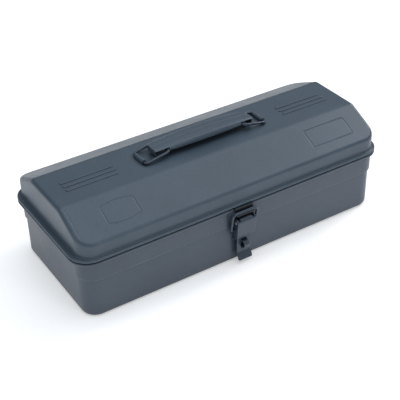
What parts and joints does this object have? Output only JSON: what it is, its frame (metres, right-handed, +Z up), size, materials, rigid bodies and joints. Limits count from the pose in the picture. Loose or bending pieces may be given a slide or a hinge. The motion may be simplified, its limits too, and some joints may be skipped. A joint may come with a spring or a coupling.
{
  "type": "hip-roof steel tool box",
  "caption": "Pressed-steel tool box with a hip-roofed hinged lid, a folding wire-loop carrying handle and a draw latch with a padlock staple at the front.",
  "frame": {"origin": "under the middle of the tray floor, at the height the box stands on", "axes": "+X along the length, -Y out of the front where the latch is, +Z up"},
  "size_m": [0.3648, 0.1676, 0.1199],
  "materials": {
    "shell_paint": "satin blue-grey paint",
    "grip_paint": "satin blue-grey paint",
    "latch_black": "black gloss",
    "dark_wire": "dark polished wire",
    "hinge_paint": "satin blue-grey paint",
    "rivet_steel": "plated steel"
  },
  "bodies": {
    "tray": {"tray_shell": "shell_paint", "hinge_leaf_tray_left": "hinge_paint", "hinge_leaf_tray_right": "hinge_paint", "hinge_pin_left": "rivet_steel", "hinge_pin_right": "rivet_steel", "hinge_rivets_tray": "rivet_steel", "latch_base_plate": "latch_black", "latch_staple": "latch_black", "latch_pivot_pin": "latch_black", "latch_base_rivets": "rivet_steel"},
    "lid": {"lid_shell": "shell_paint", "hinge_leaf_lid_left": "hinge_paint", "hinge_leaf_lid_right": "hinge_paint", "hinge_rivets_lid": "rivet_steel", "handle_bracket_left": "shell_paint", "handle_bracket_right": "shell_paint", "latch_keeper": "latch_black"},
    "grip": {"handle_grip": "grip_paint"},
    "loop_left": {"handle_loop_left": "dark_wire"},
    "loop_right": {"handle_loop_right": "dark_wire"},
    "lever": {"latch_lever": "latch_black"},
    "bail": {"latch_bail": "dark_wire"}
  },
  "joints": [
    {"name": "lid_hinge", "type": "hinge", "parent": "tray", "child": "lid", "pos_m": [0, 0.0809, 0.06815], "axis": [-1, 0, 0], "range_deg": [0, 115]},
    {"name": "handle_lift", "type": "slide", "parent": "lid", "child": "grip", "axis": [0, 0, 1], "range_m": [0, 0.01462]},
    {"name": "loop_left_swing", "type": "hinge", "parent": "lid", "child": "loop_left", "pos_m": [-0.0718, 0, 0.1088], "axis": [0, -1, 0], "range_deg": [0, 35.5]},
    {"name": "loop_right_swing", "type": "hinge", "parent": "lid", "child": "loop_right", "pos_m": [0.0718, 0, 0.1088], "axis": [0, 1, 0], "range_deg": [0, 35.5]},
    {"name": "latch_throw", "type": "hinge", "parent": "tray", "child": "lever", "pos_m": [0, -0.0792, 0.0526], "axis": [-1, 0, 0], "range_deg": [0, 130]},
    {"name": "bail_swing", "type": "hinge", "parent": "lever", "child": "bail", "pos_m": [0, -0.0764, 0.0423], "axis": [-1, 0, 0], "range_deg": [-130, 0]}
  ],
  "couplings": [
    {"joint": "loop_left_swing", "follows": "handle_lift", "rad_per_m": 42.35},
    {"joint": "loop_right_swing", "follows": "handle_lift", "rad_per_m": 42.35},
    {"joint": "bail_swing", "follows": "latch_throw", "ratio": -1}
  ]
}
